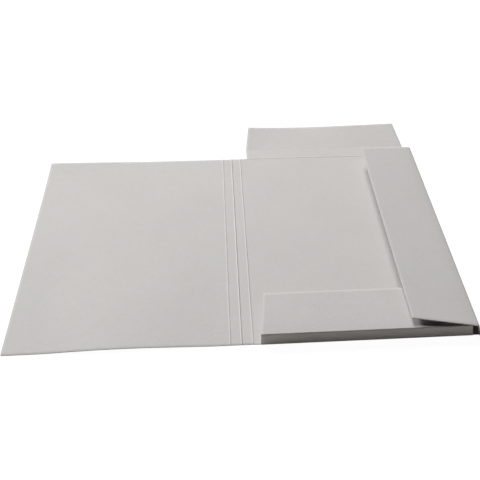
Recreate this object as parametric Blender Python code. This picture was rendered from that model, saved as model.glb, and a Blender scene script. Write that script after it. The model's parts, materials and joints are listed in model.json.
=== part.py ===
"""Collection folder for loose sheets, die-cut and creased from one piece of grey board.

The back cover lies flat. A spine of two narrow strips and the front cover open out on one long
side. The other three sides each carry a low wall and a flap: the bottom flap is folded in, the
side flap is folded in over it and springs up a little, and the top flap lies open.

Metres, +Z up. The origin is on the underside of the back cover, in its middle. The front cover
lies towards -X and the top flap towards +Y.
"""
import math

import bmesh
import bpy
from mathutils import Matrix, Vector

# Board
BOARD = 0.0008              # thickness of the grey board
SLIT = 0.0003               # gap between two panels along a crease
GROOVE = 0.0003             # depth and half width of the pressed groove on the inner face
CORNER_R = 0.0015           # radius of the die-cut corners

# Covers, from crease to crease or from crease to cut edge
SHEET_H = 0.310             # back cover, bottom crease to top crease
BACK_W = 0.222              # back cover, spine crease to side crease
FRONT_W = 0.216             # front cover, spine crease to fore edge
COVER_PLAY = 0.0003         # front cover and spine, shorter than the back cover at each end

# Walls and flaps, from crease to crease or from crease to free edge
BOTTOM_WALL = 0.0135        # sets the depth of the space for sheets
BOTTOM_FLAP = 0.054
SIDE_FLAP = 0.0645
TOP_FLAP = 0.0497
STACK_GAP = 0.0003          # play between one folded flap and the next

# How far the ends of the walls are cut back from the corners of the back cover
BOTTOM_SPINE_INSET = 0.0074
TOP_SPINE_INSET = 0.0087
FORE_END_PLAY = 0.0024      # bottom and top wall, short of the leaning side wall
SIDE_HIGH_INSET = 0.0050
SIDE_LOW_REACH = 0.0020     # this end is cut past the corner instead

# Slope of the ends of walls and flaps, which narrow towards the free edge
FLAP_TAPER = math.radians(6.0)
TOP_FORE_TAPER = math.radians(3.7)
SIDE_LOW_TAPER = math.radians(8.0)
WALL_FORE_TAPER = math.radians(11.0)    # bottom wall, beside the leaning side wall
BOTTOM_FORE_TAPER = math.radians(15.0)  # this end comes out from under the side flap

# Folds at rest: 0 is flat with the neighbour, positive folds inwards
FLAT = 0.0
UPRIGHT = math.radians(90.0)
SIDE_WALL_LEAN = math.radians(16.0)     # past upright, towards the inside
SIDE_FLAP_LIFT = math.radians(4.5)      # the flap springs up from level by this much
SIDE_WALL_FOLD = UPRIGHT + SIDE_WALL_LEAN
SIDE_FLAP_FOLD = 2 * UPRIGHT - SIDE_WALL_FOLD - SIDE_FLAP_LIFT

# The closed spine turns by two large folds with a small one between them
SPINE_OUTER_FOLD = math.radians(84.0)

# Each wall is tall enough for the flaps that lie under its own flap
SIDE_RISE = BOTTOM_WALL + BOARD + STACK_GAP
SIDE_WALL = SIDE_RISE / math.cos(SIDE_WALL_LEAN)
SIDE_FLAP_RISE = SIDE_FLAP * math.sin(SIDE_FLAP_LIFT)
TOP_WALL = SIDE_RISE + SIDE_FLAP_RISE + BOARD + STACK_GAP

# The spine lets the front cover close over all three flaps
CLOSED_RISE = TOP_WALL + BOARD + STACK_GAP
SPINE_STRIP = CLOSED_RISE / (2 * math.sin(SPINE_OUTER_FOLD))

# The end walls stop short of the side wall where it leans in furthest
FORE_END_INSET = SIDE_WALL * math.sin(SIDE_WALL_LEAN) + FORE_END_PLAY

# Directions in which panels run away from the back cover, as turns from +Y
TO_TOP = 0.0
TO_SPINE = math.radians(90.0)
TO_BOTTOM = math.radians(180.0)
TO_SIDE = math.radians(-90.0)

# Edges of a panel, anticlockwise from the crease that it hangs on
EDGES = ("near", "right", "far", "left")

GREY_BOARD = (0.50, 0.49, 0.47, 1.0)
BOARD_ROUGHNESS = 0.9
CORNER_SEGMENTS = 4


def clear_scene():
    """Start from an empty scene."""
    for thing in list(bpy.data.objects):
        bpy.data.objects.remove(thing, do_unlink=True)


def board_material(name):
    """Matt uncoated grey board."""
    material = bpy.data.materials.new(name)
    material.use_nodes = True
    shader = material.node_tree.nodes["Principled BSDF"]
    shader.inputs["Base Color"].default_value = GREY_BOARD
    shader.inputs["Roughness"].default_value = BOARD_ROUGHNESS
    shader.inputs["Metallic"].default_value = 0.0
    return material


def outline(ends, near, far, tapers=(0.0, 0.0)):
    """Four corners of a panel, anticlockwise from the left end of its near edge.

    ends gives the two ends of the near edge, and tapers how far each end slopes inwards.
    """
    depth = far - near
    left_far = ends[0] + depth * math.tan(tapers[0])
    right_far = ends[1] - depth * math.tan(tapers[1])
    return [Vector((ends[0], near)), Vector((ends[1], near)),
            Vector((right_far, far)), Vector((left_far, far))]


def cut_board(bm, corners):
    """A block of board with these corners, its inner face at z = 0 and its thickness below."""
    bmesh.ops.create_cube(bm, size=2.0)
    order = {(-1, -1): 0, (1, -1): 1, (1, 1): 2, (-1, 1): 3}
    for vertex in bm.verts:
        x, y, z = (round(value) for value in vertex.co)
        corner = corners[order[x, y]]
        vertex.co = (corner.x, corner.y, 0.0 if z > 0 else -BOARD)


def edge_between(bm, first, second):
    """The edge that joins two points."""
    for edge in bm.edges:
        a, b = (vertex.co for vertex in edge.verts)
        apart = min((a - first).length + (b - second).length,
                    (a - second).length + (b - first).length)
        if apart < SLIT / 10:
            return edge
    raise ValueError("the panel has no such edge")


def board_panel(name, corners, creased, collection):
    """One panel of board, grooved along its creased edges and rounded where two cut edges meet."""
    bm = bmesh.new()
    cut_board(bm, corners)
    inner = [corner.to_3d() for corner in corners]
    outer = [corner.to_3d() - Vector((0.0, 0.0, BOARD)) for corner in corners]

    rounded = []
    grooved = []
    for i, edge in enumerate(EDGES):
        if edge in creased:
            grooved.append(edge_between(bm, inner[i], inner[(i + 1) % len(EDGES)]))
        elif EDGES[i - 1] not in creased:
            rounded.append(edge_between(bm, inner[i], outer[i]))
    if rounded:
        bmesh.ops.bevel(bm, geom=rounded, offset=CORNER_R, segments=CORNER_SEGMENTS, profile=0.5,
                        affect="EDGES")
    bmesh.ops.bevel(bm, geom=grooved, offset=GROOVE, segments=1, affect="EDGES")

    mesh = bpy.data.meshes.new(name)
    bm.to_mesh(mesh)
    bm.free()
    mesh.materials.append(board_material(name + "_board"))
    panel = bpy.data.objects.new(name, mesh)
    collection.objects.link(panel)
    return panel


def hinge(panel, parent, place, heading, fold):
    """Hang a panel on its parent by a crease.

    place is the middle of the crease on the parent's inner face, heading the direction in which
    the panel runs when it is flat, and fold the angle by which it stands up from there.
    """
    panel.parent = parent
    spot = Matrix.Translation(Vector(place))
    panel.matrix_basis = spot @ Matrix.Rotation(heading, 4, "Z") @ Matrix.Rotation(fold, 4, "X")


def back_cover(collection):
    """The panel that lies flat and carries everything else, creased on all four sides."""
    half_w = (BACK_W - SLIT) / 2
    half_h = (SHEET_H - SLIT) / 2
    corners = outline((-half_w, half_w), -half_h, half_h)
    cover = board_panel("back_cover", corners, EDGES, collection)
    cover.location.z = BOARD
    return cover


def spine_and_front(collection, back):
    """Two spine strips and the front cover, all lying flat."""
    half_h = SHEET_H / 2 - COVER_PLAY
    ends = (-half_h, half_h)
    near = SLIT / 2
    strip = outline(ends, near, SPINE_STRIP - near)
    inner = board_panel("spine_strip_inner", strip, ("near", "far"), collection)
    hinge(inner, back, (-BACK_W / 2, 0.0, 0.0), TO_SPINE, FLAT)
    outer = board_panel("spine_strip_outer", strip, ("near", "far"), collection)
    hinge(outer, inner, (0.0, SPINE_STRIP, 0.0), FLAT, FLAT)
    front = board_panel("front_cover", outline(ends, near, FRONT_W), ("near",), collection)
    hinge(front, outer, (0.0, SPINE_STRIP, 0.0), FLAT, FLAT)


def wall(collection, back, name, place, heading, ends, rise, fold, tapers=(0.0, 0.0)):
    """A low wall along one edge of the back cover, ending where ends says along its crease."""
    near = SLIT / 2
    corners = outline(ends, near, rise - near, tapers)
    upright = board_panel(name, corners, ("near", "far"), collection)
    hinge(upright, back, place, heading, fold)
    return upright


def flap(collection, upright, name, rise, ends, depth, tapers, fold):
    """A flap at the top of a wall, as long as the wall and narrowing to its free edge."""
    corners = outline(ends, SLIT / 2, depth, tapers)
    cover = board_panel(name, corners, ("near",), collection)
    hinge(cover, upright, (0.0, rise, 0.0), FLAT, fold)


def bottom_side(collection, back):
    """Bottom wall and flap, folded in. Their fore ends slope away from the side wall."""
    fore_end = FORE_END_INSET - BACK_W / 2
    spine_end = BACK_W / 2 - BOTTOM_SPINE_INSET
    place = (0.0, -SHEET_H / 2, 0.0)
    upright = wall(collection, back, "bottom_wall", place, TO_BOTTOM, (fore_end, spine_end),
                   BOTTOM_WALL, UPRIGHT, (WALL_FORE_TAPER, 0.0))
    ends = (fore_end + BOTTOM_WALL * math.tan(WALL_FORE_TAPER), spine_end)
    tapers = (BOTTOM_FORE_TAPER, FLAP_TAPER)
    flap(collection, upright, "bottom_flap", BOTTOM_WALL, ends, BOTTOM_FLAP, tapers, UPRIGHT)


def fore_side(collection, back):
    """Side wall and flap, folded in over the bottom flap."""
    ends = (SIDE_HIGH_INSET - SHEET_H / 2, SHEET_H / 2 + SIDE_LOW_REACH)
    place = (BACK_W / 2, 0.0, 0.0)
    upright = wall(collection, back, "side_wall", place, TO_SIDE, ends, SIDE_WALL, SIDE_WALL_FOLD)
    tapers = (FLAP_TAPER, SIDE_LOW_TAPER)
    flap(collection, upright, "side_flap", SIDE_WALL, ends, SIDE_FLAP, tapers, SIDE_FLAP_FOLD)


def top_side(collection, back):
    """Top wall and flap, lying open."""
    ends = (TOP_SPINE_INSET - BACK_W / 2, BACK_W / 2 - FORE_END_INSET)
    place = (0.0, SHEET_H / 2, 0.0)
    upright = wall(collection, back, "top_wall", place, TO_TOP, ends, TOP_WALL, FLAT)
    tapers = (FLAP_TAPER, TOP_FORE_TAPER)
    flap(collection, upright, "top_flap", TOP_WALL, ends, TOP_FLAP, tapers, FLAT)


def main():
    """Build the folder, panel by panel, outwards from the back cover."""
    clear_scene()
    folder = bpy.data.collections.new("collection_folder")
    bpy.context.scene.collection.children.link(folder)
    back = back_cover(folder)
    spine_and_front(folder, back)
    bottom_side(folder, back)
    fore_side(folder, back)
    top_side(folder, back)


main()
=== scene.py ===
# %% [markdown]
# # A collection folder of grey board
# The real folder is one sheet of grey board. A die cuts its outline and presses creases into it, and
# along those creases it folds into a back cover, a spine of two strips, a front cover, and three low
# walls with flaps. The frame holds a plain solid for every panel. This lesson gives each of them the
# look of real board: soft cut edges, raised creases, folds without gaps, and a fibrous matt surface.

# %% Load the frame
import json
import math

import bmesh
import bpy
from mathutils import Matrix, Vector


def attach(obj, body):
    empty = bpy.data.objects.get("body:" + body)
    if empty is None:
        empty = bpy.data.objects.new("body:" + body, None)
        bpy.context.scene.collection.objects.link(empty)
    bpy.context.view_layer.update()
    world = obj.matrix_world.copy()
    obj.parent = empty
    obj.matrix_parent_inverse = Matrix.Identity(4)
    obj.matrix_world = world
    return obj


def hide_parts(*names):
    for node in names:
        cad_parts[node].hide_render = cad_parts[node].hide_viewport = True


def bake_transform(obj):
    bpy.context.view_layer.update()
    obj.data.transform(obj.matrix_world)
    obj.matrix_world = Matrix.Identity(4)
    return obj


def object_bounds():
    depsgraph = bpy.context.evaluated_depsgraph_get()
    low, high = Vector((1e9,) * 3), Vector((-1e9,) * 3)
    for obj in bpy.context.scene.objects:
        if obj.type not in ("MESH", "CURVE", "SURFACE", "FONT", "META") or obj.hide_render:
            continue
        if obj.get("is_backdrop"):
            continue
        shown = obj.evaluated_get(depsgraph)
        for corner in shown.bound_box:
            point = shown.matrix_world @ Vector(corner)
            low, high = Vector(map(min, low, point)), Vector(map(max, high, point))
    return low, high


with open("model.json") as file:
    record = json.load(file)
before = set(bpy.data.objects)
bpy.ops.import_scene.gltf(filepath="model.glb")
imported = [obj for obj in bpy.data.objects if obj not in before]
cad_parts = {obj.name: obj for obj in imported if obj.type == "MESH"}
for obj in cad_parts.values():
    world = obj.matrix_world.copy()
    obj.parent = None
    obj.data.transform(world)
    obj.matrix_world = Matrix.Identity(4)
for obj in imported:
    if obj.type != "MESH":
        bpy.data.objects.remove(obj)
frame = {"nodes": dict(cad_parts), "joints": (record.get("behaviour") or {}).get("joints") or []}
SOLID_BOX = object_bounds()
print("panels in the frame:", ", ".join(sorted(frame["nodes"])))

# %% [markdown]
# ## The camera
# The picture was taken from the front, a little to the left of the spine, looking down at about
# forty degrees. Its place and turn come from lining up the folder's own straight edges. A lens is
# given here by its focal length in picture elements, which Blender wants in millimetres of sensor.
# The picture was trimmed off centre, so the lens is shifted sideways by the few elements it needs.

# %% Set up the camera
PICTURE = 480                              # width and height in picture elements
SENSOR = 36.0                              # millimetres
FOCAL = 708.73                             # picture elements
LENS_CENTRE = (270.35, 238.91)             # from the left and the top, in picture elements
CAMERA_PLACE = (-0.136410, -0.599182, 0.525856)
CAMERA_TURN = (48.7558, -1.0016, -4.1979)  # degrees about x, y and z

view = bpy.data.cameras.new("folder_view")
view.sensor_width = SENSOR
view.lens = FOCAL * SENSOR / PICTURE
view.shift_x = 0.5 - LENS_CENTRE[0] / PICTURE
view.shift_y = LENS_CENTRE[1] / PICTURE - 0.5
camera = bpy.data.objects.new("folder_view", view)
camera.location = CAMERA_PLACE
camera.rotation_euler = [math.radians(turn) for turn in CAMERA_TURN]
bpy.context.scene.collection.objects.link(camera)
bpy.context.scene.camera = camera
print(f"camera with a {view.lens:.1f} mm lens")

# %% [markdown]
# ## The sheet and where its panels lie
# Panels are easiest to draw flat, one at a time, in a frame of their own: x runs along the crease
# that a panel hangs on, y runs away from it, and the inner face is at z = 0 with the thickness below.
# A chain of hinges then folds each panel into its place. The sizes repeat those of the solids, in
# metres, so that what is drawn here lies exactly where they do. Each wall is tall enough for the
# flaps that lie under its own flap, and the spine lets the front cover close over all of them.

# %% Sizes of the sheet
BOARD = 0.0008                             # thickness
SLIT = 0.0003                              # gap between two solids along a crease
STACK_GAP = 0.0003                         # play between one folded flap and the next
COVER_PLAY = 0.0003                        # spine and front cover, shorter at each end
SHEET_H = 0.310                            # back cover, bottom crease to top crease
BACK_W = 0.222                             # back cover, spine crease to side crease
FRONT_W = 0.216                            # front cover, spine crease to fore edge
BOTTOM_WALL = 0.0135
BOTTOM_FLAP = 0.054
SIDE_FLAP = 0.0645
TOP_FLAP = 0.0497
SIDE_LEAN = 16.0                           # degrees by which the side wall leans in past upright
SIDE_SPRING = 4.5                          # degrees by which the side flap springs up from level
SPINE_FOLD = 84.0                          # degrees at each outer crease of the closed spine

SIDE_RISE = BOTTOM_WALL + BOARD + STACK_GAP
SIDE_WALL = SIDE_RISE / math.cos(math.radians(SIDE_LEAN))
TOP_WALL = SIDE_RISE + SIDE_FLAP * math.sin(math.radians(SIDE_SPRING)) + BOARD + STACK_GAP
SPINE_STRIP = (TOP_WALL + BOARD + STACK_GAP) / (2 * math.sin(math.radians(SPINE_FOLD)))
print(f"spine strips of {SPINE_STRIP * 1000:.2f} mm, top wall of {TOP_WALL * 1000:.2f} mm")

# %% Where covers and walls end
BOTTOM_SPINE_INSET = 0.0074                # bottom wall, cut back from the corner
TOP_SPINE_INSET = 0.0087
SIDE_HIGH_INSET = 0.0050
SIDE_LOW_REACH = 0.0020                    # the side wall's low end runs past the corner
FORE_PLAY = 0.0024                         # bottom and top wall, short of the leaning side wall

HALF_W, HALF_H = BACK_W / 2, SHEET_H / 2   # all ends are given from the middle of the back cover
COVER_END = HALF_H - COVER_PLAY
BOTTOM_SPINE_END = HALF_W - BOTTOM_SPINE_INSET
TOP_SPINE_END = HALF_W - TOP_SPINE_INSET
FORE_END = HALF_W - SIDE_WALL * math.sin(math.radians(SIDE_LEAN)) - FORE_PLAY
SIDE_LOW_END = HALF_H + SIDE_LOW_REACH
SIDE_HIGH_END = HALF_H - SIDE_HIGH_INSET
print(f"end walls stop {(HALF_W - FORE_END) * 1000:.2f} mm before the side crease")

# %% Fold the panels into place
ONWARD, TO_TOP, TO_SPINE, TO_BOTTOM, TO_SIDE = 0, 0, 90, 180, -90    # headings, in degrees
FLAT, UPRIGHT = 0, 90                      # folds, in degrees
SIDE_WALL_FOLD = UPRIGHT + SIDE_LEAN
SIDE_FLAP_FOLD = UPRIGHT - SIDE_LEAN - SIDE_SPRING

crease = {}                                # frame of each crease, before its fold
fold_of = {}                               # how far it is folded as the folder lies
place = {"back_cover": Matrix.Translation((0.0, 0.0, BOARD))}


def hang(name, joint, parent, spot, heading, fold):
    """Hang a panel on its parent: heading and fold are in degrees."""
    turn = Matrix.Rotation(math.radians(heading), 4, "Z")
    crease[joint] = place[parent] @ Matrix.Translation(spot) @ turn
    fold_of[joint] = math.radians(fold)
    place[name] = crease[joint] @ Matrix.Rotation(fold_of[joint], 4, "X")


hang("spine_strip_inner", "spine_back_crease", "back_cover", (-HALF_W, 0, 0), TO_SPINE, FLAT)
hang("spine_strip_outer", "spine_middle_crease", "spine_strip_inner", (0, SPINE_STRIP, 0), ONWARD, FLAT)
hang("front_cover", "spine_front_crease", "spine_strip_outer", (0, SPINE_STRIP, 0), ONWARD, FLAT)
hang("bottom_wall", "bottom_wall_crease", "back_cover", (0, -HALF_H, 0), TO_BOTTOM, UPRIGHT)
hang("bottom_flap", "bottom_flap_crease", "bottom_wall", (0, BOTTOM_WALL, 0), ONWARD, UPRIGHT)
hang("side_wall", "side_wall_crease", "back_cover", (HALF_W, 0, 0), TO_SIDE, SIDE_WALL_FOLD)
hang("side_flap", "side_flap_crease", "side_wall", (0, SIDE_WALL, 0), ONWARD, SIDE_FLAP_FOLD)
hang("top_wall", "top_wall_crease", "back_cover", (0, HALF_H, 0), TO_TOP, FLAT)
hang("top_flap", "top_flap_crease", "top_wall", (0, TOP_WALL, 0), ONWARD, FLAT)
for joint in frame["joints"]:
    off = (crease[joint["name"]].translation - Vector(joint["pos_m"])).length
    print(f"{joint['name']}: {off * 1000:.4f} mm from the joint of the frame")

# %% [markdown]
# ## What grey board looks like
# Grey board is pressed from recycled fibre. From a step away it is an even, matt, slightly warm grey.
# Close up it has soft clouds, short fibres that lie mostly along the length of the web, and a few
# darker and lighter specks. A photograph of board would be quick, but it would repeat and it would
# need an image file, so each of these marks is a noise of its own size here, laid over the base
# colour. All of them read Object coordinates. The pieces sit at the origin, so the pattern runs
# across from one panel to the next as it does on the one real sheet.

# %% Helpers for material nodes
def new_material(name, specular):
    """A material with its node tree and its shader."""
    material = bpy.data.materials.new(name)
    material.use_nodes = True
    shader = material.node_tree.nodes["Principled BSDF"]
    shader.inputs["Specular IOR Level"].default_value = specular
    return material, material.node_tree, shader


def add_node(tree, kind, **settings):
    """A new node, with its properties and its unlinked sockets set by name."""
    node = tree.nodes.new(kind)
    for name, value in settings.items():
        if name in node.inputs:
            node.inputs[name].default_value = value
        else:
            setattr(node, name, value)
    return node


def combine(tree, operation, first, second):
    """A sum, a product or the like of two sockets; the second can be a plain number."""
    node = add_node(tree, "ShaderNodeMath", operation=operation)
    tree.links.new(first, node.inputs[0])
    if isinstance(second, float):
        node.inputs[1].default_value = second
    else:
        tree.links.new(second, node.inputs[1])
    return node.outputs["Value"]


def stretch(tree, value, old_low, old_high, low=0.0, high=1.0):
    """The value moved from its old range to a new one, and kept inside it."""
    limits = {"From Min": old_low, "From Max": old_high, "To Min": low, "To Max": high}
    node = add_node(tree, "ShaderNodeMapRange", **limits)
    tree.links.new(value, node.inputs["Value"])
    return node.outputs["Result"]


# %% Helpers for the marks on the board
NOISE_LOW, NOISE_HIGH = 0.3, 0.7           # most of a noise lies between these
NOISE_ROUGHNESS = 0.6


def noise(tree, where, scale, detail, low, high):
    """Noise of this scale, stretched so that low to high covers most of it."""
    grain = add_node(tree, "ShaderNodeTexNoise", Scale=scale, Detail=detail, Roughness=NOISE_ROUGHNESS)
    tree.links.new(where, grain.inputs["Vector"])
    return stretch(tree, grain.outputs["Fac"], NOISE_LOW, NOISE_HIGH, low, high)


def shaded(tree, colour, factor):
    """A plain colour made darker or lighter by a factor."""
    node = add_node(tree, "ShaderNodeVectorMath", operation="SCALE")
    node.inputs[0].default_value = colour
    tree.links.new(factor, node.inputs["Scale"])
    return node.outputs["Vector"]


def add_relief(tree, shader, height, strength, distance):
    """Let the surface look as if it rose and fell by this distance."""
    bump = add_node(tree, "ShaderNodeBump", Strength=strength, Distance=distance)
    tree.links.new(height, bump.inputs["Height"])
    tree.links.new(bump.outputs["Normal"], shader.inputs["Normal"])


# %% The face of the board
BOARD_GREY = (0.499, 0.487, 0.477)
FACE_SPECULAR = 0.25
FIBRE_RUN = (1.0, 0.28, 1.0)               # fibres lie along y, so the noise is stretched there
CLOUDS = (16.0, 3.0, 0.985, 1.015)         # scale, detail, lowest and highest, here and below
FLOCKS = (190.0, 4.0, 0.985, 1.015)
FIBRES = (2600.0, 3.0, 0.96, 1.04)

board_face, tree, shader = new_material("grey_board_face", FACE_SPECULAR)
spot = tree.nodes.new("ShaderNodeTexCoord").outputs["Object"]
mapping = add_node(tree, "ShaderNodeMapping", Scale=FIBRE_RUN)
tree.links.new(spot, mapping.inputs["Vector"])
fibre_spot = mapping.outputs["Vector"]
shade = combine(tree, "MULTIPLY", noise(tree, spot, *CLOUDS), noise(tree, spot, *FLOCKS))
shade = combine(tree, "MULTIPLY", shade, noise(tree, fibre_spot, *FIBRES))
colour = shaded(tree, BOARD_GREY, shade)
print("board face: clouds, flocks and fibres")

# %% Specks, roughness and relief of the face
DARK_SPECKS = (1150.0, 0.70, (0.41, 0.395, 0.375, 1.0))    # scale, threshold and colour
LIGHT_SPECKS = (900.0, 0.71, (0.56, 0.55, 0.535, 1.0))
SPECK_DETAIL, SPECK_ROUGHNESS, SPECK_EDGE = 1.0, 0.5, 0.05
FACE_ROUGHNESS = (420.0, 3.0, 0.84, 0.97)
NAP = (2100.0, 5.0, 0.0, 1.0)
NAP_STRENGTH, NAP_HEIGHT = 0.15, 0.00012


def add_specks(tree, colour, where, scale, threshold, speck_colour):
    """Scatter small specks over a colour, where a fine noise is above the threshold."""
    grain = add_node(tree, "ShaderNodeTexNoise", Scale=scale, Detail=SPECK_DETAIL,
                     Roughness=SPECK_ROUGHNESS)
    tree.links.new(where, grain.inputs["Vector"])
    inside = stretch(tree, grain.outputs["Fac"], threshold, threshold + SPECK_EDGE)
    mix = add_node(tree, "ShaderNodeMix", data_type="RGBA", blend_type="MIX")
    tree.links.new(inside, mix.inputs["Factor"])
    tree.links.new(colour, mix.inputs["A"])
    mix.inputs["B"].default_value = speck_colour
    return mix.outputs["Result"]


colour = add_specks(tree, colour, fibre_spot, *DARK_SPECKS)
colour = add_specks(tree, colour, fibre_spot, *LIGHT_SPECKS)
tree.links.new(colour, shader.inputs["Base Color"])
tree.links.new(noise(tree, spot, *FACE_ROUGHNESS), shader.inputs["Roughness"])
add_relief(tree, shader, noise(tree, fibre_spot, *NAP), NAP_STRENGTH, NAP_HEIGHT)
print("board face: specks, matt relief")

# %% [markdown]
# ## What a cut edge looks like
# Where the die has cut, the board shows its inside: paler, rougher, and in thin layers. The layers
# run with the sheet whichever way a panel is folded, so they can't come from Object coordinates.
# Each piece carries an attribute instead, ply, which is 0 on the inner face and 1 on the outer one.

# %% The cut edge of the board
EDGE_GREY = (0.545, 0.530, 0.516)
EDGE_SPECULAR, EDGE_ROUGHNESS = 0.15, 0.97
PLIES = 7.0                                # layers in the thickness
PLY_HALF = 0.5                             # from the middle of one layer to its edge
PLY_TONES = (0.90, 1.06)
WANDER = (260.0, 3.0, -0.6, 0.6)           # how far the layers stray, in layers
FUZZ = (1800.0, 4.0, 0.90, 1.10)
FUZZ_STRENGTH, FUZZ_HEIGHT = 0.35, 0.0001

board_cut, tree, shader = new_material("grey_board_cut_edge", EDGE_SPECULAR)
shader.inputs["Roughness"].default_value = EDGE_ROUGHNESS
spot = tree.nodes.new("ShaderNodeTexCoord").outputs["Object"]
ply = add_node(tree, "ShaderNodeAttribute", attribute_name="ply").outputs["Fac"]
layers = combine(tree, "MULTIPLY", ply, PLIES)
layers = combine(tree, "ADD", layers, noise(tree, spot, *WANDER))
bands = combine(tree, "PINGPONG", layers, PLY_HALF)
tones = stretch(tree, bands, 0.0, PLY_HALF, *PLY_TONES)
fuzz = noise(tree, spot, *FUZZ)
colour = shaded(tree, EDGE_GREY, combine(tree, "MULTIPLY", tones, fuzz))
tree.links.new(colour, shader.inputs["Base Color"])
add_relief(tree, shader, fuzz, FUZZ_STRENGTH, FUZZ_HEIGHT)
print("cut edge: pale layers")

# %% [markdown]
# ## Cutting a panel
# A panel could be a stretched cube, but then it could not bend, and its edges would be razor sharp.
# Here it starts as a grid of small squares drawn to the panel's outline. Corners that lie between
# two cut edges are rounded with a vertex bevel, as a die rounds them. Solidify gives the board its
# thickness, and a fine edge bevel takes the sharpness off every cut edge. A panel stops a little
# before each crease, because the crease is a strip of its own that can bend.

# %% Draw a panel's outline
BAND = 0.0012                              # from a crease to where the flat board begins
PITCH = 0.003                              # size of the squares
MIN_ROWS = 10                              # of squares, in a narrow panel


def outline(ends, near, far, tapers=(0.0, 0.0)):
    """Four corners, anticlockwise from the left end of the near edge; tapers in degrees."""
    def end(side, y):
        slope = math.tan(math.radians(tapers[side])) * (1 if side == 0 else -1)
        return Vector((ends[side] + max(y - SLIT / 2, 0.0) * slope, y))
    return [end(0, near), end(1, near), end(1, far), end(0, far)]


def lay_sheet(corners):
    """A flat grid of small squares with these corners, its inner face up."""
    bm = bmesh.new()
    across = round((corners[1] - corners[0]).length / PITCH)
    along = max(MIN_ROWS, round((corners[3] - corners[0]).length / PITCH))
    bmesh.ops.create_grid(bm, x_segments=across, y_segments=along, size=1.0)
    for vertex in bm.verts:
        u, v = (vertex.co.x + 1) / 2, (vertex.co.y + 1) / 2
        near = corners[0].lerp(corners[1], u)
        far = corners[3].lerp(corners[2], u)
        vertex.co = near.lerp(far, v).to_3d()
    return bm


# %% Round its corners and give it thickness
CORNER_R, CORNER_SEGMENTS = 0.0015, 6
ARRIS, ARRIS_SEGMENTS = 0.00010, 2         # softness of a cut edge
FACE, CUT = 0, 1                           # material slots
STEEP = 0.5                                # a face whose normal rises less than this is a rim


def round_corners(bm, corners):
    """Round the grid where two cut edges meet."""
    for corner in corners:
        vertex = min(bm.verts, key=lambda v: (v.co - corner.to_3d()).length)
        bmesh.ops.bevel(bm, geom=[vertex], offset=CORNER_R, segments=CORNER_SEGMENTS, profile=0.5,
                        affect="VERTICES", material=-1)


def thicken(bm, is_seam):
    """Give a flat sheet its thickness, mark its cut edges and soften them."""
    bmesh.ops.solidify(bm, geom=bm.faces[:], thickness=BOARD)
    bm.normal_update()
    for face in bm.faces:
        rim = abs(face.normal.z) < STEEP
        face.material_index = CUT if rim and not is_seam(face.calc_center_median()) else FACE
    arrises = [edge for edge in bm.edges
               if sorted(face.material_index for face in edge.link_faces) == [FACE, CUT]
               and any(abs(face.normal.z) > STEEP for face in edge.link_faces)]
    bmesh.ops.bevel(bm, geom=arrises, offset=ARRIS, segments=ARRIS_SEGMENTS, profile=0.5,
                    affect="EDGES", material=-1)
    ply = bm.verts.layers.float.new("ply")
    for vertex in bm.verts:
        vertex[ply] = min(max(-vertex.co.z / BOARD, 0.0), 1.0)


# %% Turn a shaped sheet into a piece
SHARP = math.radians(40.0)                 # edges sharper than this stay crisp
TOUCH = 1e-6                               # spots closer than this lie on the same line


def make_piece(name, bm, spot):
    """Put a sheet in its place and give it the two finishes."""
    bm.transform(spot)
    bm.normal_update()
    for face in bm.faces:
        face.smooth = True
    for edge in bm.edges:
        edge.smooth = edge.calc_face_angle(0.0) < SHARP
    mesh = bpy.data.meshes.new(name)
    bm.to_mesh(mesh)
    bm.free()
    mesh.materials.append(board_face)
    mesh.materials.append(board_cut)
    piece = bpy.data.objects.new(name, mesh)
    bpy.context.scene.collection.objects.link(piece)
    print(f"{name}: {len(mesh.polygons)} faces")
    return piece


def panel(node, corners, far_crease=False, lift=None, lag=None):
    """One panel of board in the place of its solid; lift bends it a little out of flat.

    If lag is given, the piece keeps its place baked in and is not tied to its body; what lag holds is
    not used.
    """
    near, far = corners[0].y, corners[2].y
    bm = lay_sheet(corners)
    if not far_crease:
        round_corners(bm, corners[2:])
    thicken(bm, lambda spot: abs(spot.y - near) < TOUCH or far_crease and abs(spot.y - far) < TOUCH)
    if lift:
        for vertex in bm.verts:
            vertex.co.z += lift(vertex.co.x, vertex.co.y)
    piece = make_piece(node + "_board", bm, place[node])
    if lag:
        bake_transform(piece)
    else:
        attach(piece, node)
    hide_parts(node)


# %% [markdown]
# ## The back cover
# The back cover lies flat and carries everything else. It has a crease on all four sides, but the
# walls are shorter than it is, so its corners are cut out to the crease lines. One way would be to
# draw that outline by hand. It is simpler to cut a full sheet along the lines of the creases with
# bisect_plane, and to delete the squares that belong to the crease strips.

# %% Make the back cover
cut_w, cut_h = HALF_W - SLIT / 2, HALF_H - SLIT / 2    # where the solid ends
flat_w, flat_h = HALF_W - BAND, HALF_H - BAND          # where the crease strips begin
bm = lay_sheet(outline((-cut_w, cut_w), -cut_h, cut_h))
spine_ends = (-BOTTOM_SPINE_END, -TOP_SPINE_END)
cuts = [((x, 0, 0), (1, 0, 0)) for x in (-flat_w, *spine_ends, FORE_END, flat_w)]
cuts += [((0, y, 0), (0, 1, 0)) for y in (-flat_h, SIDE_HIGH_END, flat_h)]
for spot, direction in cuts:
    bmesh.ops.bisect_plane(bm, geom=bm.verts[:] + bm.edges[:] + bm.faces[:], plane_co=spot,
                           plane_no=direction)


def in_crease_strip(spot):
    """Whether this part of the sheet belongs to a crease strip."""
    beside_spine = spot.x < -flat_w
    beside_side_wall = spot.x > flat_w and spot.y < SIDE_HIGH_END
    beside_end_walls = abs(spot.y) > flat_h and spine_ends[spot.y > 0] < spot.x < FORE_END
    return beside_spine or beside_side_wall or beside_end_walls


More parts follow.
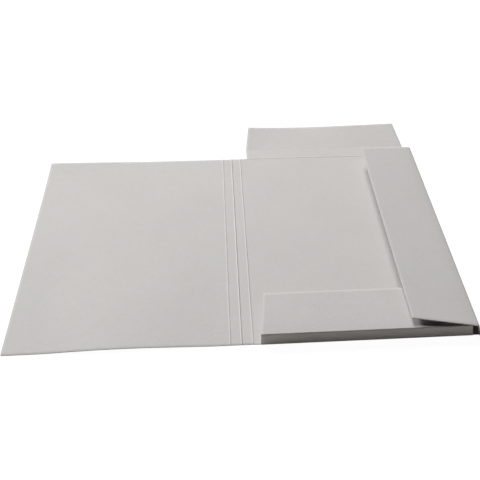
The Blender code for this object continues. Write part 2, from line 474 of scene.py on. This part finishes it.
strips = [face for face in bm.faces if in_crease_strip(face.calc_center_median())]
bmesh.ops.delete(bm, geom=strips, context="FACES")
thicken(bm, lambda spot: min(abs(abs(spot.x) - flat_w), abs(abs(spot.y) - flat_h)) < TOUCH)
back_cover = make_piece("back_cover_board", bm, place["back_cover"])
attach(back_cover, "back_cover")
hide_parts("back_cover")

# %% [markdown]
# ## The spine and the front cover
# Two narrow strips make the spine, and the front cover hangs on the outer one. A cover of thin board
# never lies quite flat. This one rises by a millimetre or two along its bottom edge and at the fore
# corner of its top edge, which gentle bumps over the grid give it. On the closed folder the top flap
# presses that corner flat.

# %% Bend the front cover
COVER_ARCH = 0.0023
ARCH_MIDDLE = 0.107                        # from the spine
ARCH_SPINE_REACH, ARCH_FORE_REACH = 0.095, 0.075
ARCH_POWER = 1.5                           # the larger, the softer it runs out at its ends
ARCH_TOP = 0.02                            # the arch has died away this far up the cover
CORNER_LIFT = 0.0017
LIFT_FORE, LIFT_UP = 0.088, 0.065          # where it starts, from the spine and from the middle
LIFT_FORE_POWER, LIFT_UP_POWER = 1.2, 2    # the larger, the later it rises


def ease(share):
    """A soft step from 0 to 1."""
    share = min(max(share, 0.0), 1.0)
    return share * share * (3 - 2 * share)


def cover_lift(x, y):
    """How far the front cover lifts at a spot: x runs up the cover, y away from the spine."""
    reach = ARCH_SPINE_REACH if y < ARCH_MIDDLE else ARCH_FORE_REACH
    sideways = max(0.0, 1 - ((y - ARCH_MIDDLE) / reach) ** 2) ** ARCH_POWER
    arch = COVER_ARCH * sideways * ease((ARCH_TOP - x) / (ARCH_TOP + COVER_END))
    fore = max(0.0, (y - LIFT_FORE) / (FRONT_W - LIFT_FORE))
    up = max(0.0, (x - LIFT_UP) / (COVER_END - LIFT_UP))
    rise = math.sin(fore * math.pi / 2) ** LIFT_FORE_POWER * up ** LIFT_UP_POWER
    return arch + CORNER_LIFT * rise


print(f"the cover lifts by up to {COVER_ARCH * 1000:.1f} mm at its bottom edge")

# %% Make the spine and the front cover
COVER_LAG_RUN = 2.0                        # the longer, the less the cover lags

cover_ends = (-COVER_END, COVER_END)
spine_strip = outline(cover_ends, BAND, SPINE_STRIP - BAND)
panel("spine_strip_inner", spine_strip, far_crease=True)
panel("spine_strip_outer", spine_strip, far_crease=True)
cover_lag = ("spine_strip_outer", (0, LIFT_UP + COVER_LAG_RUN, 0), (0, LIFT_UP, 0))
panel("front_cover", outline(cover_ends, BAND, FRONT_W), lift=cover_lift, lag=cover_lag)

# %% [markdown]
# ## How a fold runs
# A crease is pressed from outside, which leaves a shallow groove there and raises a bead on the inner
# face. That bead is what catches the light along the open spine. Folded board doesn't turn in a
# corner: it runs round in a small curve, and where it springs back against the fold the curve
# reaches far into the flap. A quadratic curve has just that form. It leaves the one panel at a set
# distance before the crease line and joins the other at a set distance after it. Those two distances
# are its legs.

# %% The curve of a fold
def fold_spot(t, fold, before, after):
    """A spot of the curve, along the first panel and out of it; t runs from 0 to 1."""
    leaving, joining = before * (1 - t) ** 2, after * t ** 2
    return Vector((joining * math.cos(fold) - leaving, joining * math.sin(fold)))


def fold_share(distance, fold, before, after):
    """The t at a distance along the second panel or, if it is negative, back along the first."""
    onward, back = after, before * math.cos(fold)
    if distance < 0:
        onward, back = after * math.cos(fold), before
    root = math.sqrt(back ** 2 + (onward - back) * (back + distance))
    return (root - back) / (onward - back)


# %% [markdown]
# ## Walls and flaps
# Each of the three other sides has a low wall and a flap whose ends slope inwards. The bottom flap
# lies almost level. The side flap lies over it and springs up, so it is bowed beside its fold. The
# top flap lies open on the table, and its free corners curl up. A lift, which moves the squares of
# the grid off the flat, gives each of them its bend. Folded in, the top flap lies flat on the side
# flap.

# %% Make the bottom wall and its flap
WALL_TAPERS = (11.0, 0.0)                  # degrees, at the fore end and the spine end
BOTTOM_TAPERS = (15.0, 6.0)
FLAP_ARCH, ARCH_RUN = 0.0003, 0.008        # height, and how soon it is reached

wall_slope = math.tan(math.radians(WALL_TAPERS[0]))
bottom_ends = (-FORE_END, BOTTOM_SPINE_END)
bottom_flap_ends = (BOTTOM_WALL * wall_slope - FORE_END, BOTTOM_SPINE_END)


def flap_arch(x, y):
    """A slight arch beside the fold, gone at the free edge; folded in, the flap has z downwards."""
    return -FLAP_ARCH * (1 - math.exp((BAND - y) / ARCH_RUN)) * (1 - y / BOTTOM_FLAP)


panel("bottom_wall", outline(bottom_ends, BAND, BOTTOM_WALL - BAND, WALL_TAPERS), far_crease=True)
panel("bottom_flap", outline(bottom_flap_ends, BAND, BOTTOM_FLAP, BOTTOM_TAPERS), lift=flap_arch)

# %% Make the side wall and its flap
SIDE_TAPERS = (6.0, 8.0)                   # degrees, at the high end and the low end
SIDE_BOW = (0.0008, 0.0200)                # legs of its fold, before and after the crease
SIDE_FOLD = fold_of["side_flap_crease"]

side_ends = (-SIDE_HIGH_END, SIDE_LOW_END)


def wall_bow(x, y):
    """How far the top of the side wall bends in towards the fold."""
    remaining = SIDE_WALL - y
    if remaining > SIDE_BOW[0]:
        return 0.0
    return fold_spot(fold_share(-remaining, SIDE_FOLD, *SIDE_BOW), SIDE_FOLD, *SIDE_BOW).y


def flap_bow(x, y):
    """How far the side flap dips beside the fold."""
    if y > SIDE_BOW[1]:
        return 0.0
    return SIDE_BOW[0] * (1 - fold_share(y, SIDE_FOLD, *SIDE_BOW)) ** 2 * math.sin(SIDE_FOLD)


panel("side_wall", outline(side_ends, BAND, SIDE_WALL - BAND), far_crease=True, lift=wall_bow)
panel("side_flap", outline(side_ends, BAND, SIDE_FLAP, SIDE_TAPERS), lift=flap_bow)

# %% Make the top wall and its flap
TOP_TAPERS = (6.0, 3.7)                    # degrees, at the spine end and the fore end
TOP_SPRING, SPRING_POWER = 0.0008, 1.1     # how far the free edge lifts where it is lowest
CURL_FORE, CURL_SPINE = 0.0029, 0.0021     # how much further its two corners lift
CURL_FORE_POWER, CURL_SPINE_POWER = 1.3, 2
CURL_ROOT = -0.020                         # where between them it is lowest
LAG_ROOT, LAG_RUN = -0.081, 1.39           # where the fore corner starts to lag, and over what run

top_ends = (-TOP_SPINE_END, FORE_END)


def corner_curl(x, y):
    """How far the open top flap lifts: x from the spine side to the fore side, y from its crease."""
    if x > CURL_ROOT:
        rise = CURL_FORE * ((x - CURL_ROOT) / (FORE_END - CURL_ROOT)) ** CURL_FORE_POWER
    else:
        rise = CURL_SPINE * ((CURL_ROOT - x) / (TOP_SPINE_END + CURL_ROOT)) ** CURL_SPINE_POWER
    return (TOP_SPRING + rise) * (y / TOP_FLAP) ** SPRING_POWER


top_lag = ("top_wall", (LAG_ROOT + LAG_RUN, 0, 0), (LAG_ROOT, 0, 0))
panel("top_wall", outline(top_ends, BAND, TOP_WALL - BAND), far_crease=True)
panel("top_flap", outline(top_ends, BAND, TOP_FLAP, TOP_TAPERS), lift=corner_curl, lag=top_lag)

# %% Press a crease and bend it
BEAD_HALF = 0.0012                         # half the width of the bead
GROOVE_HALF = 0.0008


def hump(y, half):
    """A smooth hump of height 1 about the crease line."""
    return (1 + math.cos(math.pi * min(abs(y) / half, 1.0))) / 2


def press(bm, bead):
    """Raise a bead on the inner face and sink half as deep a groove into the outer one."""
    for vertex in bm.verts:
        if vertex.co.z > -BOARD / 2:
            vertex.co.z += bead * hump(vertex.co.y, BEAD_HALF)
        else:
            vertex.co.z += bead / 2 * hump(vertex.co.y, GROOVE_HALF)


def fold_place(y, fold, legs):
    """Where a spot of the flat strip's inner face goes, and how far the board has turned there."""
    reach = [min(leg, BAND) for leg in legs]
    span = (0.0, 1.0)
    if max(legs) > BAND:
        span = [fold_share(end, fold, *legs) for end in (-reach[0], reach[1])]
    share = min(max((y + reach[0]) / (reach[0] + reach[1]), 0.0), 1.0)
    turn = ease(share) * fold
    beyond = y - min(max(y, -reach[0]), reach[1])
    curved = fold_spot(span[0] + (span[1] - span[0]) * share, fold, *legs)
    return curved + beyond * Vector((math.cos(turn), math.sin(turn))), turn


def bend(bm, fold, legs):
    """Bend a flat strip round the curve of its fold."""
    for vertex in bm.verts:
        x, y, z = vertex.co
        inner, turn = fold_place(y, fold, legs)
        vertex.co = (x, inner.x - z * math.sin(turn), inner.y + z * math.cos(turn))


# %% Make one crease strip
ACROSS = 24                                # squares across a crease
OPEN_LEGS = (BAND, BAND)
SHARP_LEGS = (0.0004, 0.0004)


def crease_strip(joint, ends, bead=0.0, tapers=(0.0, 0.0), root_ends=None, legs=OPEN_LEGS):
    """The strip of board along one crease, bent round its fold as the folder lies.

    root_ends is where the strip ends on the first panel, if that isn't where the second one does.
    """
    bm = bmesh.new()
    along = round((ends[1] - ends[0]) / PITCH)
    bmesh.ops.create_grid(bm, x_segments=along, y_segments=ACROSS, size=1.0)
    for vertex in bm.verts:
        u, v = vertex.co.x, vertex.co.y
        there = root_ends if root_ends and v < -TOUCH else ends
        left, right = outline(there, v * BAND, v * BAND, tapers)[:2]
        vertex.co = left.lerp(right, (u + 1) / 2).to_3d()
    thicken(bm, lambda spot: abs(abs(spot.y) - BAND) < TOUCH)
    press(bm, bead)
    fold = fold_of[joint]
    bend(bm, fold, legs)
    piece = make_piece(joint.replace("_crease", "_fold_strip"), bm, crease[joint])
    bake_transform(piece)


# %% Make all creases
side_root_ends = (-SIDE_HIGH_END, cut_h)
crease_strip("spine_back_crease", cover_ends, bead=0.00034)
crease_strip("spine_middle_crease", cover_ends, bead=0.00048)
crease_strip("spine_front_crease", cover_ends, bead=0.00030)
crease_strip("bottom_wall_crease", bottom_ends, legs=SHARP_LEGS)
crease_strip("bottom_flap_crease", bottom_flap_ends, tapers=BOTTOM_TAPERS, legs=SHARP_LEGS)
crease_strip("side_wall_crease", side_ends, root_ends=side_root_ends, legs=SHARP_LEGS)
crease_strip("side_flap_crease", side_ends, tapers=SIDE_TAPERS, legs=SIDE_BOW)
crease_strip("top_wall_crease", top_ends, bead=0.00025)
crease_strip("top_flap_crease", top_ends, bead=0.00005, tapers=TOP_TAPERS)

# %% [markdown]
# ## Floor and light
# The folder lies on a white table in a bright studio, so bright that the ground shows no shade. Two
# floors stand in for that table. The one that the camera sees is round, curves up into a low rim, and
# glows white. It is hidden from diffuse rays. The other lies just below it, is hidden from the
# camera, and throws light up against the front wall. It ends just behind the folder, whose back is
# bright enough without it: both lamps are soft boxes behind the folder, one high and one low on the
# left. That leaves the front wall dim and the space under the flaps almost black. There is next to no
# light from all round, as that would fill those dark places.

# %% A finish for the studio
def stage_piece(name, bm, colour, glow):
    """A part of the studio, with a plain matt finish that glows a little or a lot."""
    mesh = bpy.data.meshes.new(name)
    bm.to_mesh(mesh)
    bm.free()
    white, _, shader = new_material(name, specular=0.0)
    shader.inputs["Base Color"].default_value = colour
    shader.inputs["Roughness"].default_value = 1.0
    shader.inputs["Emission Color"].default_value = (1.0, 1.0, 1.0, 1.0)
    shader.inputs["Emission Strength"].default_value = glow
    mesh.materials.append(white)
    piece = bpy.data.objects.new(name, mesh)
    bpy.context.scene.collection.objects.link(piece)
    piece.visible_shadow = False
    piece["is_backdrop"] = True
    return piece


# %% Make the floor
FLOOR_RADIUS, FLOOR_SIDES = 1.8, 96
FLOOR_COLOUR, FLOOR_GLOW = (0.10, 0.10, 0.10, 1.0), 0.97
RIM_RADIUS, RIM_STEPS = 0.9, 12
RIM_TURN = math.radians(70.0)              # how far the rim curves up

bm = bmesh.new()
bmesh.ops.create_circle(bm, cap_ends=True, segments=FLOOR_SIDES, radius=FLOOR_RADIUS)
edges = bm.edges[:]
for step in range(1, RIM_STEPS + 1):
    turn = RIM_TURN * step / RIM_STEPS
    radius = FLOOR_RADIUS + RIM_RADIUS * math.sin(turn)
    grown = bmesh.ops.extrude_edge_only(bm, edges=edges)["geom"]
    edges = [item for item in grown if isinstance(item, bmesh.types.BMEdge)
             and len(item.link_faces) == 1]
    for vertex in {vertex for edge in edges for vertex in edge.verts}:
        vertex.co.xy = vertex.co.xy.normalized() * radius
        vertex.co.z = RIM_RADIUS * (1 - math.cos(turn))
bmesh.ops.recalc_face_normals(bm, faces=bm.faces[:])
floor = stage_piece("white_floor", bm, FLOOR_COLOUR, FLOOR_GLOW)
floor.visible_diffuse = False
print("white floor with a low rim")

# %% Make the floor that throws light
BOUNCE_SIDES = 64
BOUNCE_COLOUR, BOUNCE_GLOW = (0.82, 0.78, 0.73, 1.0), 0.05
BOUNCE_END = 0.18                          # how far back this floor reaches
BOUNCE_DROP = 0.001                        # below the other one

bm = bmesh.new()
bounce_middle = (0.0, BOUNCE_END - FLOOR_RADIUS, -BOUNCE_DROP)
bmesh.ops.create_circle(bm, cap_ends=True, segments=BOUNCE_SIDES, radius=FLOOR_RADIUS,
                        matrix=Matrix.Translation(bounce_middle))
bounce = stage_piece("bounce_floor", bm, BOUNCE_COLOUR, BOUNCE_GLOW)
bounce.visible_camera = False
print("hidden floor that throws light")

# %% Light the folder
SKY_COLOUR, SKY_STRENGTH = (1.0, 0.86, 0.76, 1.0), 0.012


def soft_lamp(name, azimuth, height, away, size, power, colour):
    """A soft box that faces the folder; azimuth is in degrees left of straight behind."""
    light = bpy.data.lights.new(name, "AREA")
    light.shape = "RECTANGLE"
    light.size, light.size_y = size
    light.energy = power
    light.color = colour
    lamp = bpy.data.objects.new(name, light)
    turn = math.radians(azimuth)
    lamp.location = (-away * math.sin(turn), away * math.cos(turn), height)
    lamp.rotation_euler = (-lamp.location).to_track_quat("-Z", "Y").to_euler()
    lamp.visible_camera = False
    bpy.context.scene.collection.objects.link(lamp)


soft_lamp("high_lamp", azimuth=14.0, height=3.4, away=3.3, size=(1.8, 1.6), power=226.0,
          colour=(1.0, 0.99, 0.98))
soft_lamp("left_lamp", azimuth=50.0, height=1.7, away=3.6, size=(1.6, 1.0), power=143.0,
          colour=(0.99, 1.0, 1.0))
world = bpy.data.worlds.new("studio")
world.use_nodes = True
sky = world.node_tree.nodes["Background"]
sky.inputs["Color"].default_value = SKY_COLOUR
sky.inputs["Strength"].default_value = SKY_STRENGTH
bpy.context.scene.world = world
bpy.context.scene.view_settings.view_transform = "Standard"
print("two soft boxes behind the folder, and a trace of light from all round")

# %% [markdown]
# ## Measure and finish
# The sizes of the dressed folder and of its solids are printed side by side. The dressed folder
# has to keep the size of its solids.

# %% Measure the sizes and finish
boxes = {"solids": SOLID_BOX, "dressed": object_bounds()}
for name, (low, high) in boxes.items():
    print(name, "size in mm:", [round(side * 1000, 2) for side in high - low])
